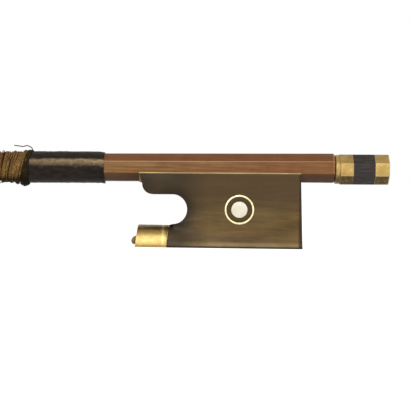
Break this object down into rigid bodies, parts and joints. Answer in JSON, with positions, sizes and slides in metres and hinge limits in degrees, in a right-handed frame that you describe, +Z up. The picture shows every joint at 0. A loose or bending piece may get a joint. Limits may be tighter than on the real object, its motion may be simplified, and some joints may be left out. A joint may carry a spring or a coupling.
{
  "type": "violin bow",
  "caption": "Cambered stick with a hatchet head, a frog that slides on the stick, a screw button, a leather grip and a wire winding; no hair.",
  "frame": {"origin": "middle of the bow's bounding box, on the bench that the frog and the head stand on", "axes": "+X along the stick towards the button, +Z up from the bench to the stick, -Y is the side that the picture shows"},
  "size_m": [0.7445, 0.0128, 0.029],
  "materials": {
    "pernambuco": "worn varnish over reddish brown wood",
    "ebony": "handled dark brown wood, half gloss",
    "gold": "gold fittings, finely scratched",
    "brass": "plain machined brass",
    "steel": "cut thread",
    "pearl": "mother-of-pearl, polished",
    "bone": "polished bone",
    "leather": "near-black grained leather",
    "thread": "orange brown thread",
    "wire": "tarnished gold-coloured wire",
    "maple": "bare pale wood",
    "hair": "tied hair ends"
  },
  "bodies": {
    "stick_body": {"stick": "pernambuco", "tip_plate": "bone", "head_lining": "ebony", "head_plug": "maple", "head_hair_knot": "hair", "thumb_leather": "leather", "lapping_thread": "thread", "lapping_wire": "wire"},
    "frog": {"frog_body": "ebony", "underslide": "gold", "underslide_pin_front": "brass", "underslide_pin_rear": "brass", "eyelet": "brass", "eye_ring_near": "gold", "eye_ring_far": "gold", "eye_pearl_near": "pearl", "eye_pearl_far": "pearl", "ferrule": "gold", "spread_wedge": "maple", "pearl_slide": "pearl", "slide_backing": "ebony", "frog_plug": "maple", "frog_hair_knot": "hair"},
    "adjuster": {"adjuster_screw": "steel", "button_core": "ebony", "button_front_ring": "gold", "button_rear_ring": "gold"}
  },
  "joints": [
    {"name": "adjuster_turn", "type": "hinge", "parent": "stick_body", "child": "adjuster", "pos_m": [0.35655, 0, 0.02325], "axis": [-1, 0, -0.0096], "range_deg": [-1800, 3240]},
    {"name": "frog_slide", "type": "slide", "parent": "stick_body", "child": "frog", "axis": [1, 0, 0.0096], "range_m": [-0.004, 0.0072]}
  ],
  "couplings": [
    {"joint": "adjuster_turn", "follows": "frog_slide", "rad_per_m": 7854}
  ]
}
